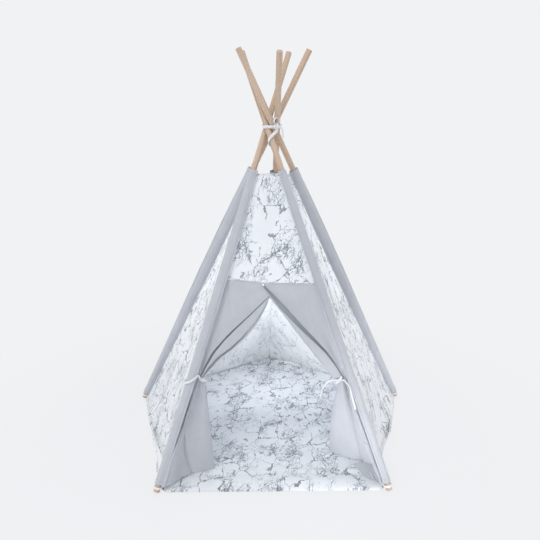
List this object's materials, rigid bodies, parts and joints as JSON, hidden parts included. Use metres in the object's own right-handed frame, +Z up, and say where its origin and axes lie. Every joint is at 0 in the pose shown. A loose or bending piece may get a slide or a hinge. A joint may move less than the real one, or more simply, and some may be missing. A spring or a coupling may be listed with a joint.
{
  "type": "play tent",
  "caption": "Child's five-sided play tent on crossed wooden poles, with cloth walls, a split door tied back and a quilted floor mat.",
  "frame": {"origin": "on the floor under the mat, straight below the crossing of the poles", "axes": "+Z up, -Y out through the door, +X to the right of someone who faces the door"},
  "size_m": [1.1957, 1.1502, 1.5035],
  "materials": {
    "pole": "smooth turned pine, unvarnished",
    "ferrule": "plain steel tube",
    "grey_canvas": "matte cotton canvas",
    "marble_canvas": "matte cotton canvas with a printed grey marble pattern",
    "white_tape": "white cotton twill tape"
  },
  "bodies": {
    "mat": {"floor_mat": "marble_canvas", "corner_loop_front_right": "white_tape", "corner_loop_side_right": "white_tape", "corner_loop_back": "white_tape", "corner_loop_side_left": "white_tape", "corner_loop_front_left": "white_tape"},
    "crown": {"wall_side_right": "marble_canvas", "wall_back_right": "marble_canvas", "wall_back_left": "marble_canvas", "wall_side_left": "marble_canvas", "front_header": "marble_canvas", "door_left": "grey_canvas", "door_right": "grey_canvas", "lash_band": "white_tape", "lash_knot": "white_tape", "lash_bow_loop": "white_tape", "lash_strand": "white_tape", "lash_tail": "white_tape"},
    "front_right_pole": {"pole_front_right_lower": "pole", "pole_front_right_upper": "pole", "ferrule_front_right": "ferrule", "sleeve_front_right": "grey_canvas", "tie_band_right": "white_tape", "tie_knot_right": "white_tape", "tie_tail_right_inner": "white_tape", "tie_tail_right_outer": "white_tape"},
    "side_right_pole": {"pole_side_right_lower": "pole", "pole_side_right_upper": "pole", "ferrule_side_right": "ferrule", "sleeve_side_right": "grey_canvas"},
    "back_pole": {"pole_back_lower": "pole", "pole_back_upper": "pole", "ferrule_back": "ferrule", "sleeve_back": "grey_canvas"},
    "side_left_pole": {"pole_side_left_lower": "pole", "pole_side_left_upper": "pole", "ferrule_side_left": "ferrule", "sleeve_side_left": "grey_canvas"},
    "front_left_pole": {"pole_front_left_lower": "pole", "pole_front_left_upper": "pole", "ferrule_front_left": "ferrule", "sleeve_front_left": "grey_canvas", "tie_band_left": "white_tape", "tie_knot_left": "white_tape"},
    "left_curtain": {"curtain_left": "grey_canvas"},
    "right_curtain": {"curtain_right": "grey_canvas"}
  },
  "joints": [
    {"name": "crown_lift", "type": "slide", "parent": "mat", "child": "crown", "axis": [0, 0, 1], "range_m": [0, 0.1912], "deforming": ["wall_side_right", "wall_back_right", "wall_back_left", "wall_side_left", "front_header", "door_left", "door_right", "curtain_left", "curtain_right", "lash_strand", "floor_mat", "corner_loop_front_right", "corner_loop_side_right", "corner_loop_back", "corner_loop_side_left", "corner_loop_front_left"]},
    {"name": "front_right_fold", "type": "hinge", "parent": "crown", "child": "front_right_pole", "pos_m": [-0.01588, -0.01485, 1.229], "axis": [0.7303, 0.6831, 0], "range_deg": [0, 16.6]},
    {"name": "side_right_fold", "type": "hinge", "parent": "crown", "child": "side_right_pole", "pos_m": [0.00855, -0.01999, 1.229], "axis": [-0.3935, 0.9193, 0], "range_deg": [0, 16.6]},
    {"name": "back_fold", "type": "hinge", "parent": "crown", "child": "back_pole", "pos_m": [0.02173, 0.00071, 1.229], "axis": [-0.9995, -0.0328, 0], "range_deg": [0, 16.6]},
    {"name": "side_left_fold", "type": "hinge", "parent": "crown", "child": "side_left_pole", "pos_m": [0.00716, 0.02053, 1.229], "axis": [-0.3292, -0.9443, 0], "range_deg": [0, 16.6]},
    {"name": "front_left_fold", "type": "hinge", "parent": "crown", "child": "front_left_pole", "pos_m": [-0.01688, 0.0137, 1.229], "axis": [0.7763, -0.6303, 0], "range_deg": [0, 16.6]},
    {"name": "right_curtain_swing", "type": "hinge", "parent": "front_right_pole", "child": "right_curtain", "pos_m": [0.38449, -0.46062, 0.02], "axis": [-0.3135, 0.3291, 0.8907], "range_deg": [0, 70]},
    {"name": "left_curtain_swing", "type": "hinge", "parent": "front_left_pole", "child": "left_curtain", "pos_m": [-0.38502, -0.46017, 0.02], "axis": [-0.2914, -0.3485, -0.8909], "range_deg": [0, 70]}
  ],
  "couplings": [
    {"joint": "front_right_fold", "follows": "crown_lift", "rad_per_m": 1.5062},
    {"joint": "side_right_fold", "follows": "crown_lift", "rad_per_m": 1.5062},
    {"joint": "back_fold", "follows": "crown_lift", "rad_per_m": 1.5062},
    {"joint": "side_left_fold", "follows": "crown_lift", "rad_per_m": 1.5062},
    {"joint": "front_left_fold", "follows": "crown_lift", "rad_per_m": 1.5062}
  ]
}
